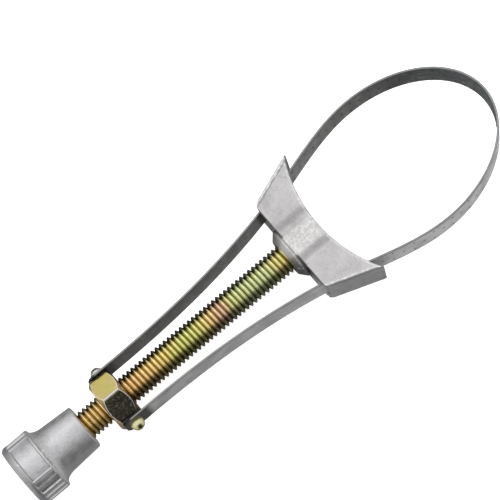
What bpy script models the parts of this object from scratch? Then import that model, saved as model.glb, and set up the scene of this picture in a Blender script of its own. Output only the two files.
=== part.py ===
"""Band-type oil filter wrench: knob, screw, travelling nut, steel band and cast saddle.

Metres, +Z up.  The origin is the centre of the knob's end face.  +X runs along the screw's
axis towards the band's loop, +Y points to the band's left leg and +Z runs across the
band's width.
"""
import math

import bmesh
import bpy
from mathutils import Matrix

MM = 0.001
GAP = 0.3 * MM
SHARP_ANGLE = math.radians(35)

# Stations along the screw's axis that the other sizes start from.
KNOB_LENGTH = 30.6 * MM
NUT_REAR_X = 40.7 * MM
SADDLE_X = 133.6 * MM

# Screw: right-hand thread with a sharp V profile.
PITCH = 2.0 * MM
THREAD_R = 6.0 * MM
THREAD_DEPTH = 1.2 * MM
THREAD_STEPS = 14
THREAD_START_X = KNOB_LENGTH - 2.0 * MM
THREAD_END_X = SADDLE_X + 1.4 * MM
END_CHAMFER = 1.0 * MM
PIECE_OVERLAP = 2.0 * MM
SHANK_R = 4.6 * MM
SHANK_START_X = 8.8 * MM
JOURNAL_R = 4.0 * MM
JOURNAL_END_X = SADDLE_X + 12.3 * MM
RING_GROOVE_R = 3.3 * MM
RING_GROOVE_X = (SADDLE_X + 10.1 * MM, SADDLE_X + 11.5 * MM)

# Saddle: hollow casting whose concave front rests on the filter.
SADDLE_HEIGHT = 20.6 * MM
SADDLE_REAR_HALF = 21.3 * MM
SADDLE_TIP_X = SADDLE_X + 21.8 * MM
SADDLE_TIP_HALF = 29.4 * MM
SADDLE_FRONT_X = SADDLE_X + 13.8 * MM
SADDLE_EDGE_ROUND = 0.9 * MM
SADDLE_EDGE_MIN_ANGLE = math.radians(30)
SADDLE_ARC_STEPS = 20
PAD_HALF = 8.0 * MM
BOSS_HALF = 9.4 * MM
TUNNEL_HALF_HEIGHT = 7.9 * MM
TUNNEL_REAR_HALF = 20.5 * MM
TUNNEL_SLOPE = 0.30
CUT_START_X = SADDLE_X - MM
CUT_END_X = SADDLE_X + 30.0 * MM
GROOVE_DEPTH = 0.35 * MM
GROOVE_HALF_WIDTH = 0.7 * MM
COLLAR_R = 10.9 * MM
COLLAR_LENGTH = 3.4 * MM
COLLAR_RIM = 0.8 * MM
COLLAR_REAR_R = 7.9 * MM
COLLAR_FLAT_INSET = 0.2 * MM
COLLAR_TURN_STEPS = 40
THREAD_POCKET_R = 6.6 * MM
THREAD_POCKET_END_X = SADDLE_X + 3.0 * MM
JOURNAL_BORE_R = 4.3 * MM
RING_POCKET_R = 7.4 * MM
RING_POCKET_START_X = SADDLE_X + 8.4 * MM
WASHER_R = 6.3 * MM
WASHER_THICK = 1.0 * MM
RETAINER_WASHER_R = 7.0 * MM
RING_R = 5.6 * MM
RING_MOUTH_HALF = 1.6 * MM

# Knob: a cast grip with a ribbed band and a neck that flares into it.
KNOB_RIM_R = 13.5 * MM
KNOB_BAND_R = 12.5 * MM
KNOB_BAND_START_X = 3.2 * MM
KNOB_BAND_END_X = 11.3 * MM
KNOB_SHOULDER_X = 12.5 * MM
KNOB_NECK_X = 18.0 * MM
KNOB_NECK_REAR_R = 10.2 * MM
KNOB_NECK_FRONT_R = 9.5 * MM
KNOB_EDGE_ROUND = 0.8 * MM
KNOB_RIM_ROUND = 2.6 * MM
KNOB_BAND_STEP = 0.4 * MM
KNOB_CURVE_STEPS = 6
KNOB_TURN_STEPS = 40
KNOB_MOUTH_DEPTH = 3.0 * MM
RIB_GROUPS = 3
RIBS_PER_GROUP = 4
RIB_PITCH_DEG = 14.0
RIB_FIRST_DEG = 123.5
RIB_R = 1.0 * MM
RIB_SIDES = 10
RIB_END_OVERLAP = 0.5 * MM

# Nut: hexagonal, riveted between the band's two ends.
NUT_LENGTH = 10.3 * MM
NUT_ACROSS_FLATS = 20.8 * MM
NUT_CHAMFER = 1.0 * MM
NUT_CHAMFER_INSET = 0.1 * MM
NUT_THREAD_CLEARANCE = 0.3 * MM
RIVET_X = NUT_REAR_X + 5.9 * MM
RIVET_HEAD_R = 2.9 * MM
RIVET_HEAD_HEIGHT = 3.0 * MM
RIVET_SHANK_R = 1.6 * MM
RIVET_DEPTH = 2.2 * MM
RIVET_CURVE_STEPS = 6
RIVET_TURN_STEPS = 20
HOLE_STEPS = 16

# Band: thin spring steel, two legs that pass through the saddle into one loop.
BAND_THICK = 0.9 * MM
BAND_WIDTH = 14.6 * MM
BAND_END_X = NUT_REAR_X + 1.3 * MM
BAND_END_ROUND = 4.0 * MM
BAND_END_STEPS = 6
LEG_START_X = NUT_REAR_X + 13.4 * MM
SLOT_X = SADDLE_X + 6.0 * MM
SLOT_Y = 20.0 * MM
SLOT_SLOPE = 0.242
LOOP_WIDE_X = SADDLE_X + 53.0 * MM
LOOP_HALF_WIDTH = 30.4 * MM
LOOP_TIP_X = SADDLE_X + 96.4 * MM
LEG_STEPS = 12
SIDE_STEPS = 9
TIP_STEPS = 28

NUT_HALF = NUT_ACROSS_FLATS / 2
LEG_Y = NUT_HALF + GAP + BAND_THICK / 2

CAST = ("cast_metal", (0.55, 0.55, 0.54), 0.45, 0.9)
ZINC = ("yellow_zinc", (0.62, 0.50, 0.24), 0.30, 1.0)
STEEL = ("bright_steel", (0.60, 0.60, 0.60), 0.30, 1.0)
BAND = ("band_steel", (0.20, 0.22, 0.24), 0.35, 1.0)

X_FROM_Z = Matrix.Rotation(math.radians(90), 4, "Y")


def clear_scene():
    """Start from an empty scene."""
    for obj in list(bpy.data.objects):
        bpy.data.objects.remove(obj, do_unlink=True)


def make_collection(name):
    """A collection linked to the scene."""
    collection = bpy.data.collections.new(name)
    bpy.context.scene.collection.children.link(collection)
    return collection


def make_material(spec):
    """A Principled material from (name, colour, roughness, metallic)."""
    name, colour, roughness, metallic = spec
    material = bpy.data.materials.get(name)
    if material is None:
        material = bpy.data.materials.new(name)
        material.use_nodes = True
        shader = material.node_tree.nodes["Principled BSDF"]
        shader.inputs["Base Color"].default_value = (*colour, 1.0)
        shader.inputs["Roughness"].default_value = roughness
        shader.inputs["Metallic"].default_value = metallic
    return material


def add_part(name, mesh, spec):
    """A visible piece of the wrench."""
    obj = bpy.data.objects.new(name, mesh)
    mesh.materials.clear()
    mesh.materials.append(make_material(spec))
    parts.objects.link(obj)
    return obj


def add_cutter(name, mesh):
    """A helper solid for a Boolean, left out of the wrench."""
    obj = bpy.data.objects.new(name, mesh)
    obj.hide_render = True
    obj.display_type = "WIRE"
    cutters.objects.link(obj)
    return obj


def combine(obj, cutter, operation):
    """Boolean modifier on obj."""
    modifier = obj.modifiers.new(cutter.name, "BOOLEAN")
    modifier.operation = operation
    modifier.object = cutter


def mesh_from(bm, name):
    """Close a bmesh into a mesh whose faces point out."""
    bmesh.ops.recalc_face_normals(bm, faces=bm.faces)
    mesh = bpy.data.meshes.new(name)
    bm.to_mesh(mesh)
    bm.free()
    return mesh


def lathe(name, profile, steps=32, lead=0.0):
    """Mesh of a profile of (radius, x) points swept round the X axis by a Screw modifier.

    The profile runs from the highest x to the lowest.  A lead other than zero makes it
    a helix, whose open seam at each end is then filled.
    """
    line = bpy.data.meshes.new(name)
    points = [(radius, 0.0, along) for radius, along in profile]
    line.from_pydata(points, [(i, i + 1) for i in range(len(points) - 1)], [])
    guide = bpy.data.objects.new(name, line)
    cutters.objects.link(guide)
    screw = guide.modifiers.new("sweep", "SCREW")
    screw.angle = math.tau
    screw.screw_offset = lead
    screw.steps = steps
    screw.render_steps = steps
    screw.use_merge_vertices = False
    graph = bpy.context.evaluated_depsgraph_get()
    mesh = bpy.data.meshes.new_from_object(guide.evaluated_get(graph))
    bpy.data.objects.remove(guide, do_unlink=True)
    bm = bmesh.new()
    bm.from_mesh(mesh)
    bpy.data.meshes.remove(mesh)
    bmesh.ops.remove_doubles(bm, verts=bm.verts, dist=1e-7)
    open_edges = [edge for edge in bm.edges if edge.is_boundary]
    if open_edges:
        bmesh.ops.holes_fill(bm, edges=open_edges, sides=0)
    bmesh.ops.transform(bm, matrix=X_FROM_Z, verts=bm.verts)
    return mesh_from(bm, name)


def rod(name, radius, x_low, x_high, steps=32):
    """Mesh of a plain cylinder along X."""
    bm = bmesh.new()
    bmesh.ops.create_cone(
        bm, cap_ends=True, segments=steps, radius1=radius, radius2=radius, depth=x_high - x_low
    )
    middle = Matrix.Translation(((x_low + x_high) / 2, 0.0, 0.0))
    bmesh.ops.transform(bm, matrix=middle @ X_FROM_Z, verts=bm.verts)
    return mesh_from(bm, name)


def slab(name, outline, z_low, z_high):
    """Mesh of an outline of (x, y) points, extruded in Z."""
    bm = bmesh.new()
    face = bm.faces.new([bm.verts.new((x, y, z_low)) for x, y in outline])
    grown = bmesh.ops.extrude_face_region(bm, geom=[face])
    top = [item for item in grown["geom"] if isinstance(item, bmesh.types.BMVert)]
    bmesh.ops.translate(bm, verts=top, vec=(0.0, 0.0, z_high - z_low))
    return mesh_from(bm, name)


def thread(name, x_low, x_high, extra):
    """Mesh of a V thread, grown outwards by extra, that spans at least x_low to x_high."""
    first = math.floor(x_low / PITCH) - 2
    last = math.ceil(x_high / PITCH) + 1
    root = THREAD_R - THREAD_DEPTH + extra
    crest = THREAD_R + extra
    profile = [(0.0, (last + 0.5) * PITCH)]
    for turn in range(last, first - 1, -1):
        profile.append((root, (turn + 0.5) * PITCH))
        profile.append((crest, turn * PITCH))
    profile.append((root, (first - 0.5) * PITCH))
    profile.append((0.0, (first - 0.5) * PITCH))
    return lathe(name, profile, THREAD_STEPS, PITCH)


def smooth_round(obj):
    """Smooth shading with sharp edges kept."""
    obj.data.shade_smooth()
    obj.data.set_sharp_from_angle(angle=SHARP_ANGLE)


def make_screw():
    """Threaded rod with a plain shank for the knob and a grooved journal for the saddle."""
    screw = add_part("screw", thread("screw", THREAD_START_X, THREAD_END_X, 0.0), ZINC)
    root = THREAD_R - THREAD_DEPTH
    envelope = [
        (0.0, THREAD_END_X),
        (root, THREAD_END_X),
        (THREAD_R + GAP, THREAD_END_X - END_CHAMFER),
        (THREAD_R + GAP, THREAD_START_X + END_CHAMFER),
        (root, THREAD_START_X),
        (0.0, THREAD_START_X),
    ]
    combine(screw, add_cutter("screw_envelope", lathe("screw_envelope", envelope)), "INTERSECT")
    groove_low, groove_high = RING_GROOVE_X
    journal = [
        (0.0, JOURNAL_END_X),
        (JOURNAL_R, JOURNAL_END_X),
        (JOURNAL_R, groove_high),
        (RING_GROOVE_R, groove_high),
        (RING_GROOVE_R, groove_low),
        (JOURNAL_R, groove_low),
        (JOURNAL_R, THREAD_END_X - PIECE_OVERLAP),
        (0.0, THREAD_END_X - PIECE_OVERLAP),
    ]
    combine(screw, add_cutter("screw_journal", lathe("screw_journal", journal)), "UNION")
    shank = rod("screw_shank", SHANK_R, SHANK_START_X, THREAD_START_X + PIECE_OVERLAP)
    combine(screw, add_cutter("screw_shank", shank), "UNION")
    smooth_round(screw)


def knob_profile():
    """Outer line of the knob, from the neck's mouth back to the rear face."""
    profile = [
        (0.0, KNOB_LENGTH),
        (KNOB_NECK_FRONT_R - KNOB_EDGE_ROUND, KNOB_LENGTH),
        (KNOB_NECK_FRONT_R, KNOB_LENGTH - KNOB_EDGE_ROUND),
    ]
    flare_length = KNOB_NECK_X - KNOB_SHOULDER_X
    flare_height = KNOB_RIM_R - KNOB_NECK_REAR_R
    for step in range(KNOB_CURVE_STEPS + 1):
        turn = step / KNOB_CURVE_STEPS * math.pi / 2
        radius = KNOB_NECK_REAR_R + flare_height * (1 - math.cos(turn))
        profile.append((radius, KNOB_NECK_X - flare_length * math.sin(turn)))
    profile.append((KNOB_RIM_R, KNOB_BAND_END_X + KNOB_BAND_STEP))
    profile.append((KNOB_BAND_R, KNOB_BAND_END_X))
    profile.append((KNOB_BAND_R, KNOB_BAND_START_X))
    profile.append((KNOB_RIM_R, KNOB_BAND_START_X - KNOB_BAND_STEP))
    for step in range(KNOB_CURVE_STEPS + 1):
        turn = step / KNOB_CURVE_STEPS * math.pi / 2
        radius = KNOB_RIM_R - KNOB_RIM_ROUND * (1 - math.cos(turn))
        profile.append((radius, KNOB_RIM_ROUND * (1 - math.sin(turn))))
    profile.append((0.0, 0.0))
    return profile


def knob_ribs():
    """Raised ribs along the grip band, in three groups of four."""
    bm = bmesh.new()
    length = KNOB_BAND_END_X - KNOB_BAND_START_X + 2 * RIB_END_OVERLAP
    middle = (KNOB_BAND_END_X + KNOB_BAND_START_X) / 2
    centre_r = KNOB_RIM_R - RIB_R
    for group in range(RIB_GROUPS):
        for rib in range(RIBS_PER_GROUP):
            angle = math.radians(RIB_FIRST_DEG + group * 360 / RIB_GROUPS + rib * RIB_PITCH_DEG)
            place = Matrix.Translation((middle, centre_r * math.cos(angle), centre_r * math.sin(angle)))
            bmesh.ops.create_cone(
                bm,
                cap_ends=True,
                segments=RIB_SIDES,
                radius1=RIB_R,
                radius2=RIB_R,
                depth=length,
                matrix=place @ X_FROM_Z,
            )
    return mesh_from(bm, "knob_ribs")


def make_knob():
    """Cast knob with a blind bore for the screw's shank."""
    knob = add_part("knob", lathe("knob", knob_profile(), KNOB_TURN_STEPS), CAST)
    combine(knob, add_cutter("knob_ribs", knob_ribs()), "UNION")
    mouth_x = KNOB_LENGTH - KNOB_MOUTH_DEPTH
    bore = [
        (0.0, KNOB_LENGTH + MM),
        (THREAD_R + GAP, KNOB_LENGTH + MM),
        (THREAD_R + GAP, mouth_x),
        (SHANK_R + GAP, mouth_x),
        (SHANK_R + GAP, SHANK_START_X - GAP),
        (0.0, SHANK_START_X - GAP),
    ]
    combine(knob, add_cutter("knob_bore", lathe("knob_bore", bore)), "DIFFERENCE")
    smooth_round(knob)


def make_nut():
    """Hexagonal nut, chamfered at both ends, with a blind hole for each rivet."""
    nut_end_x = NUT_REAR_X + NUT_LENGTH
    corner_r = NUT_HALF / math.cos(math.radians(30))
    hexagon = rod("hex_nut", corner_r, NUT_REAR_X, nut_end_x, 6)
    hexagon.transform(Matrix.Rotation(math.radians(30), 4, "X"))
    nut = add_part("hex_nut", hexagon, ZINC)
    chamfer = [
        (0.0, nut_end_x + MM),
        (NUT_HALF - NUT_CHAMFER, nut_end_x + MM),
        (NUT_HALF - NUT_CHAMFER_INSET, nut_end_x),
        (corner_r + NUT_CHAMFER_INSET, nut_end_x - NUT_CHAMFER),
        (corner_r + NUT_CHAMFER_INSET, NUT_REAR_X + NUT_CHAMFER),
        (NUT_HALF - NUT_CHAMFER_INSET, NUT_REAR_X),
        (NUT_HALF - NUT_CHAMFER, NUT_REAR_X - MM),
        (0.0, NUT_REAR_X - MM),
    ]
    combine(nut, add_cutter("nut_chamfer", lathe("nut_chamfer", chamfer)), "INTERSECT")
    tapped = thread("nut_thread", NUT_REAR_X - MM, nut_end_x + MM, NUT_THREAD_CLEARANCE)
    combine(nut, add_cutter("nut_thread", tapped), "DIFFERENCE")
    for side in (1, -1):
        bottom = NUT_HALF - RIVET_DEPTH - GAP
        hole = rod("rivet_hole", RIVET_SHANK_R + GAP, bottom, NUT_HALF + MM, HOLE_STEPS)
        hole.transform(rivet_place(side))
        combine(nut, add_cutter("rivet_hole", hole), "DIFFERENCE")
    smooth_round(nut)


def rivet_place(side):
    """Turns the +X axis out of the nut's left (1) or right (-1) flat, at the rivets' station."""
    return Matrix.Translation((RIVET_X, 0.0, 0.0)) @ Matrix.Rotation(math.radians(90 * side), 4, "Z")


def make_rivet(name, side):
    """Domed rivet whose shank runs through the band's end into the nut."""
    seat = LEG_Y + BAND_THICK / 2 + GAP
    profile = []
    for step in range(RIVET_CURVE_STEPS + 1):
        turn = math.pi / 2 * (1 - step / RIVET_CURVE_STEPS)
        profile.append((RIVET_HEAD_R * math.cos(turn), seat + RIVET_HEAD_HEIGHT * math.sin(turn)))
    profile[0] = (0.0, seat + RIVET_HEAD_HEIGHT)
    profile.append((RIVET_SHANK_R, seat))
    profile.append((RIVET_SHANK_R, NUT_HALF - RIVET_DEPTH))
    profile.append((0.0, NUT_HALF - RIVET_DEPTH))
    rivet = add_part(name, lathe(name, profile, RIVET_TURN_STEPS), STEEL)
    rivet.data.transform(rivet_place(side))
    smooth_round(rivet)


def hermite(share, start, start_rise, end, end_rise):
    """Cubic between two values with given rises at its ends."""
    square = share * share
    cube = square * share
    return (
        (2 * cube - 3 * square + 1) * start
        + (cube - 2 * square + share) * start_rise
        + (3 * square - 2 * cube) * end
        + (cube - square) * end_rise
    )


def band_y(x):
    """Distance of the band's left half from the screw's axis, up to the loop's widest place."""
    if x < LEG_START_X:
        return LEG_Y
    if x < SLOT_X:
        span = SLOT_X - LEG_START_X
        return hermite((x - LEG_START_X) / span, LEG_Y, 0.0, SLOT_Y, SLOT_SLOPE * span)
    span = LOOP_WIDE_X - SLOT_X
    return hermite((x - SLOT_X) / span, SLOT_Y, SLOT_SLOPE * span, LOOP_HALF_WIDTH, 0.0)


def ribbon(name, centre_line, spec):
    """Band piece: a strip along (x, y) points, thickened by Solidify."""
    half = BAND_WIDTH / 2
    bm = bmesh.new()
    previous = None
    for x, y in centre_line:
        pair = (bm.verts.new((x, y, -half)), bm.verts.new((x, y, half)))
        if previous:
            bm.faces.new((previous[0], pair[0], pair[1], previous[1]))
        previous = pair
    mesh = bpy.data.meshes.new(name)
    bm.to_mesh(mesh)
    bm.free()
    strip = add_part(name, mesh, spec)
    solid = strip.modifiers.new("thickness", "SOLIDIFY")
    solid.thickness = BAND_THICK
    solid.offset = 0.0
    solid.use_even_offset = True
    return strip


def spaced(low, high, count):
    """Evenly spaced values, both ends included."""
    return [low + (high - low) * step / count for step in range(count + 1)]


def tab_outline():
    """Flat shape of an end tab as (x, height) points, with rounded corners by the knob."""
    front_x = LEG_START_X - GAP / 2
    half = BAND_WIDTH / 2
    centre_x = BAND_END_X + BAND_END_ROUND
    outline = [(front_x, half)]
    for low, height in ((90, half - BAND_END_ROUND), (180, BAND_END_ROUND - half)):
        for step in range(BAND_END_STEPS + 1):
            turn = math.radians(low + 90 * step / BAND_END_STEPS)
            x = centre_x + BAND_END_ROUND * math.cos(turn)
            outline.append((x, height + BAND_END_ROUND * math.sin(turn)))
    outline.append((front_x, -half))
    return outline


def make_band(side, word):
    """One end tab and one arm of the band; the arm is a leg and half of a loop side."""
    upright = Matrix.Translation((0.0, side * LEG_Y, 0.0)) @ Matrix.Rotation(math.radians(90), 4, "X")
    plate = slab("band_end_" + word, tab_outline(), -BAND_THICK / 2, BAND_THICK / 2)
    plate.transform(upright)
    tab = add_part("band_end_" + word, plate, BAND)
    hole = rod("band_hole", RIVET_SHANK_R + GAP, NUT_HALF - MM, LEG_Y + 2 * MM, HOLE_STEPS)
    hole.transform(rivet_place(side))
    combine(tab, add_cutter("band_hole", hole), "DIFFERENCE")
    stations = spaced(LEG_START_X + GAP / 2, SLOT_X, LEG_STEPS)
    stations += spaced(SLOT_X, LOOP_WIDE_X - GAP / 2, SIDE_STEPS)[1:]
    ribbon("band_arm_" + word, [(x, side * band_y(x)) for x in stations], BAND)


def make_band_tip():
    """Front of the loop, half an ellipse from one widest place round to the other."""
    reach = LOOP_TIP_X - LOOP_WIDE_X
    line = [(LOOP_WIDE_X + GAP / 2, LOOP_HALF_WIDTH)]
    for step in range(1, TIP_STEPS):
        turn = math.pi * (0.5 - step / TIP_STEPS)
        line.append((LOOP_WIDE_X + reach * math.cos(turn), LOOP_HALF_WIDTH * math.sin(turn)))
    line.append((LOOP_WIDE_X + GAP / 2, -LOOP_HALF_WIDTH))
    ribbon("band_tip", line, BAND)


def saddle_outline():
    """Plan of the saddle: straight rear, spreading sides and a concave front arc."""
    sag = SADDLE_TIP_X - SADDLE_FRONT_X
    radius = (SADDLE_TIP_HALF ** 2 + sag ** 2) / (2 * sag)
    half_turn = math.asin(SADDLE_TIP_HALF / radius)
    outline = [(SADDLE_X, SADDLE_REAR_HALF), (SADDLE_X, -SADDLE_REAR_HALF)]
    for step in range(SADDLE_ARC_STEPS + 1):
        turn = half_turn * (2 * step / SADDLE_ARC_STEPS - 1)
        outline.append((SADDLE_FRONT_X + radius * (1 - math.cos(turn)), radius * math.sin(turn)))
    return outline


def channel(side, inner, outer):
    """Plan of a cut from behind the saddle to past its front; inner and outer hold y at both ends."""
    return [
        (CUT_START_X, side * inner[0]),
        (CUT_END_X, side * inner[1]),
        (CUT_END_X, side * outer[1]),
        (CUT_START_X, side * outer[0]),
    ]


def make_saddle():
    """Hollow casting: a tunnel for each leg, and a boss that holds the screw's end."""
    half = SADDLE_HEIGHT / 2
    saddle = add_part("saddle_casting", slab("saddle_casting", saddle_outline(), -half, half), CAST)
    rounding = saddle.modifiers.new("edges", "BEVEL")
    rounding.width = SADDLE_EDGE_ROUND
    rounding.segments = 2
    rounding.limit_method = "ANGLE"
    rounding.angle_limit = SADDLE_EDGE_MIN_ANGLE
    collar_x = SADDLE_X - COLLAR_LENGTH
    collar = [
        (0.0, SADDLE_X + MM),
        (COLLAR_R, SADDLE_X + MM),
        (COLLAR_R, SADDLE_X - COLLAR_RIM),
        (COLLAR_REAR_R, collar_x),
        (0.0, collar_x),
    ]
    low_x = collar_x - MM
    high_x = SADDLE_X + 2 * MM
    width = COLLAR_R + MM
    square = [(low_x, -width), (high_x, -width), (high_x, width), (low_x, width)]
    trim = slab("collar_trim", square, COLLAR_FLAT_INSET - half, half - COLLAR_FLAT_INSET)
    boss = add_cutter("saddle_collar", lathe("saddle_collar", collar, COLLAR_TURN_STEPS))
    combine(boss, add_cutter("collar_trim", trim), "INTERSECT")
    combine(saddle, boss, "UNION")
    groove_inner = PAD_HALF - GROOVE_HALF_WIDTH
    groove_outer = PAD_HALF + GROOVE_HALF_WIDTH
    for side in (1, -1):
        outer_start = TUNNEL_REAR_HALF + TUNNEL_SLOPE * (CUT_START_X - SADDLE_X)
        outer_end = TUNNEL_REAR_HALF + TUNNEL_SLOPE * (CUT_END_X - SADDLE_X)
        tunnel = channel(side, (BOSS_HALF, BOSS_HALF), (outer_start, outer_end))
        cut = slab("saddle_tunnel", tunnel, -TUNNEL_HALF_HEIGHT, TUNNEL_HALF_HEIGHT)
        combine(saddle, add_cutter("saddle_tunnel", cut), "DIFFERENCE")
        groove = channel(side, (groove_inner, groove_inner), (groove_outer, groove_outer))
        for low, high in ((half - GROOVE_DEPTH, half + MM), (-half - MM, GROOVE_DEPTH - half)):
            cut = slab("saddle_groove", groove, low, high)
            combine(saddle, add_cutter("saddle_groove", cut), "DIFFERENCE")
    bore = [
        (0.0, SADDLE_FRONT_X + 2 * MM),
        (RING_POCKET_R, SADDLE_FRONT_X + 2 * MM),
        (RING_POCKET_R, RING_POCKET_START_X),
        (JOURNAL_BORE_R, RING_POCKET_START_X),
        (JOURNAL_BORE_R, THREAD_POCKET_END_X),
        (THREAD_POCKET_R, THREAD_POCKET_END_X),
        (THREAD_POCKET_R, collar_x - MM),
        (0.0, collar_x - MM),
    ]
    combine(saddle, add_cutter("saddle_bore", lathe("saddle_bore", bore)), "DIFFERENCE")


def make_washer(name, x_low, outer_r):
    """Flat washer round the screw's journal."""
    washer = add_part(name, rod(name, outer_r, x_low, x_low + WASHER_THICK), STEEL)
    hole = rod(name + "_hole", JOURNAL_BORE_R, x_low - MM, x_low + WASHER_THICK + MM)
    combine(washer, add_cutter(name + "_hole", hole), "DIFFERENCE")
    smooth_round(washer)


def make_retaining_ring():
    """Open spring ring in the journal's groove."""
    groove_low, groove_high = RING_GROOVE_X
    name = "retaining_ring"
    ring = add_part(name, rod(name, RING_R, groove_low + GAP, groove_high - GAP), STEEL)
    hole = rod("ring_hole", RING_GROOVE_R + GAP, groove_low - MM, groove_high + MM)
    combine(ring, add_cutter("ring_hole", hole), "DIFFERENCE")
    outline = [
        (groove_low - MM, -RING_MOUTH_HALF),
        (groove_high + MM, -RING_MOUTH_HALF),
        (groove_high + MM, RING_MOUTH_HALF),
        (groove_low - MM, RING_MOUTH_HALF),
    ]
    mouth = slab("ring_mouth", outline, 0.0, RING_R + MM)
    combine(ring, add_cutter("ring_mouth", mouth), "DIFFERENCE")
    smooth_round(ring)


clear_scene()
parts = make_collection("oil_filter_wrench")
cutters = make_collection("cutters")
make_saddle()
make_washer("thrust_washer", THREAD_END_X + GAP, WASHER_R)
make_washer("retaining_washer", RING_POCKET_START_X + GAP, RETAINER_WASHER_R)
make_retaining_ring()
make_screw()
make_knob()
make_nut()
make_rivet("rivet_left", 1)
make_rivet("rivet_right", -1)
make_band(1, "left")
make_band(-1, "right")
make_band_tip()
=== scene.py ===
"""Looks of the band-type oil filter wrench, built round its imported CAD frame."""
import math

import bmesh
import bpy
from mathutils import Matrix, Vector


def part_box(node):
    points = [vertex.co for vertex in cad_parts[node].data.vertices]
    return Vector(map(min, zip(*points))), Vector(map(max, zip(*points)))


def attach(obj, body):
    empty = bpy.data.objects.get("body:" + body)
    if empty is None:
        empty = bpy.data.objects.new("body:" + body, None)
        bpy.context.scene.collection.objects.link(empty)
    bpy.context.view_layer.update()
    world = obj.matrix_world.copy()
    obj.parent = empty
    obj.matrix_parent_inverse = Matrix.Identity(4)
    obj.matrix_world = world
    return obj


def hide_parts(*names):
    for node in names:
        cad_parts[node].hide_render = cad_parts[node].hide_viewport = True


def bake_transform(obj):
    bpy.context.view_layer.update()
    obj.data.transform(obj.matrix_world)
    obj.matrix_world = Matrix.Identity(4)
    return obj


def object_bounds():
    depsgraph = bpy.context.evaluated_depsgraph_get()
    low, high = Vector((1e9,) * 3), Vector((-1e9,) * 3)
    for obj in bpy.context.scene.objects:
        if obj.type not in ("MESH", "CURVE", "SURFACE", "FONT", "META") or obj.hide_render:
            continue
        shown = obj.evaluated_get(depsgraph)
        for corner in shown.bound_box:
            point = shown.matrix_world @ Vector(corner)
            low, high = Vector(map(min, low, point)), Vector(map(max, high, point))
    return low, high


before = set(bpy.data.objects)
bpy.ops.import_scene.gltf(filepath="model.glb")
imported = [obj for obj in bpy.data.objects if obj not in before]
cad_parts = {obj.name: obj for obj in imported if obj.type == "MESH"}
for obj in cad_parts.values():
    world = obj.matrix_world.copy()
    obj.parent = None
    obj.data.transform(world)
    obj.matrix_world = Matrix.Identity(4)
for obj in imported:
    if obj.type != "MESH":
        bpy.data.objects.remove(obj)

MM = 0.001
CAD_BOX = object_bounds()


def span(node, axis):
    """Lowest and highest value of a CAD node along one axis."""
    low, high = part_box(node)
    return low[axis], high[axis]


# Stations and sizes read from the frame.
KNOB_REAR, KNOB_FRONT = span("knob", 0)
KNOB_R = span("knob", 1)[1]
NUT_REAR, NUT_FRONT = span("hex_nut", 0)
NUT_HALF = span("hex_nut", 1)[1]
SCREW_REAR, SCREW_FRONT = span("screw", 0)
THREAD_R = span("screw", 2)[1]
COLLAR_REAR, SADDLE_TIP_X = span("saddle_casting", 0)
SADDLE_HALF_HEIGHT = span("saddle_casting", 2)[1]
SADDLE_TIP_HALF = span("saddle_casting", 1)[1]
BAND_END_X, LEG_START_X = span("band_end_left", 0)
BAND_HALF = span("band_tip", 2)[1]
BAND_THICK = span("band_end_left", 1)[1] - span("band_end_left", 1)[0]
LEG_Y = sum(span("band_end_left", 1)) / 2
LOOP_HALF = span("band_tip", 1)[1] - BAND_THICK / 2
LOOP_WIDE_X = span("band_tip", 0)[0]
LOOP_TIP_X = span("band_tip", 0)[1] - BAND_THICK / 2
RIVET_X = sum(span("rivet_left", 0)) / 2
RIVET_R = (span("rivet_left", 0)[1] - span("rivet_left", 0)[0]) / 2
RIVET_TOP = span("rivet_left", 1)[1]

# Saddle shape.
COLLAR_LENGTH = 3.4 * MM
COLLAR_RIM = 0.8 * MM
COLLAR_R = 10.9 * MM
COLLAR_REAR_R = 7.9 * MM
SADDLE_X = COLLAR_REAR + COLLAR_LENGTH
SADDLE_REAR_HALF = 21.3 * MM
SADDLE_FRONT_X = SADDLE_X + 13.8 * MM
BOSS_HALF = 9.4 * MM
TUNNEL_HALF = 7.9 * MM
TUNNEL_REAR_HALF = 20.5 * MM
TUNNEL_SLOPE = 0.30
JOURNAL_BORE_R = 4.3 * MM
THREAD_POCKET_R = 6.6 * MM
THREAD_POCKET_X = SADDLE_X + 3.0 * MM
RING_POCKET_R = 7.4 * MM
RING_POCKET_X = SADDLE_X + 8.4 * MM
VOXEL = 0.26 * MM

# Screw and band shape.
PITCH = 2.0 * MM
THREAD_DEPTH = 1.2 * MM
ROOT_R = THREAD_R - THREAD_DEPTH
SLOT_X = SADDLE_X + 6.0 * MM
SLOT_Y = 20.0 * MM
SLOT_SLOPE = 0.242


# ---- mesh helpers

def piece(name, mesh, material, body, slot, *nodes):
    """A shown piece that rides on a body and stands for CAD nodes."""
    obj = bpy.data.objects.new(name, mesh)
    bpy.context.scene.collection.objects.link(obj)
    mesh.materials.append(material)
    if body:
        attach(obj, body)
    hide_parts(*nodes)
    return obj


def finish_mesh(bm, name, sharp_deg=40):
    """Turn a bmesh into a smooth-shaded mesh with its creases kept sharp."""
    bmesh.ops.recalc_face_normals(bm, faces=bm.faces)
    mesh = bpy.data.meshes.new(name)
    bm.to_mesh(mesh)
    bm.free()
    mesh.shade_smooth()
    mesh.set_sharp_from_angle(angle=math.radians(sharp_deg))
    return mesh


def bridge(bm, first, second):
    """Quads between two closed rings, or triangles where one ring is a single vertex."""
    count = max(len(first), len(second))
    for i in range(count):
        j = (i + 1) % count
        if len(first) == 1:
            bm.faces.new((first[0], second[j], second[i]))
        elif len(second) == 1:
            bm.faces.new((first[i], first[j], second[0]))
        else:
            bm.faces.new((first[i], first[j], second[j], second[i]))


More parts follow.
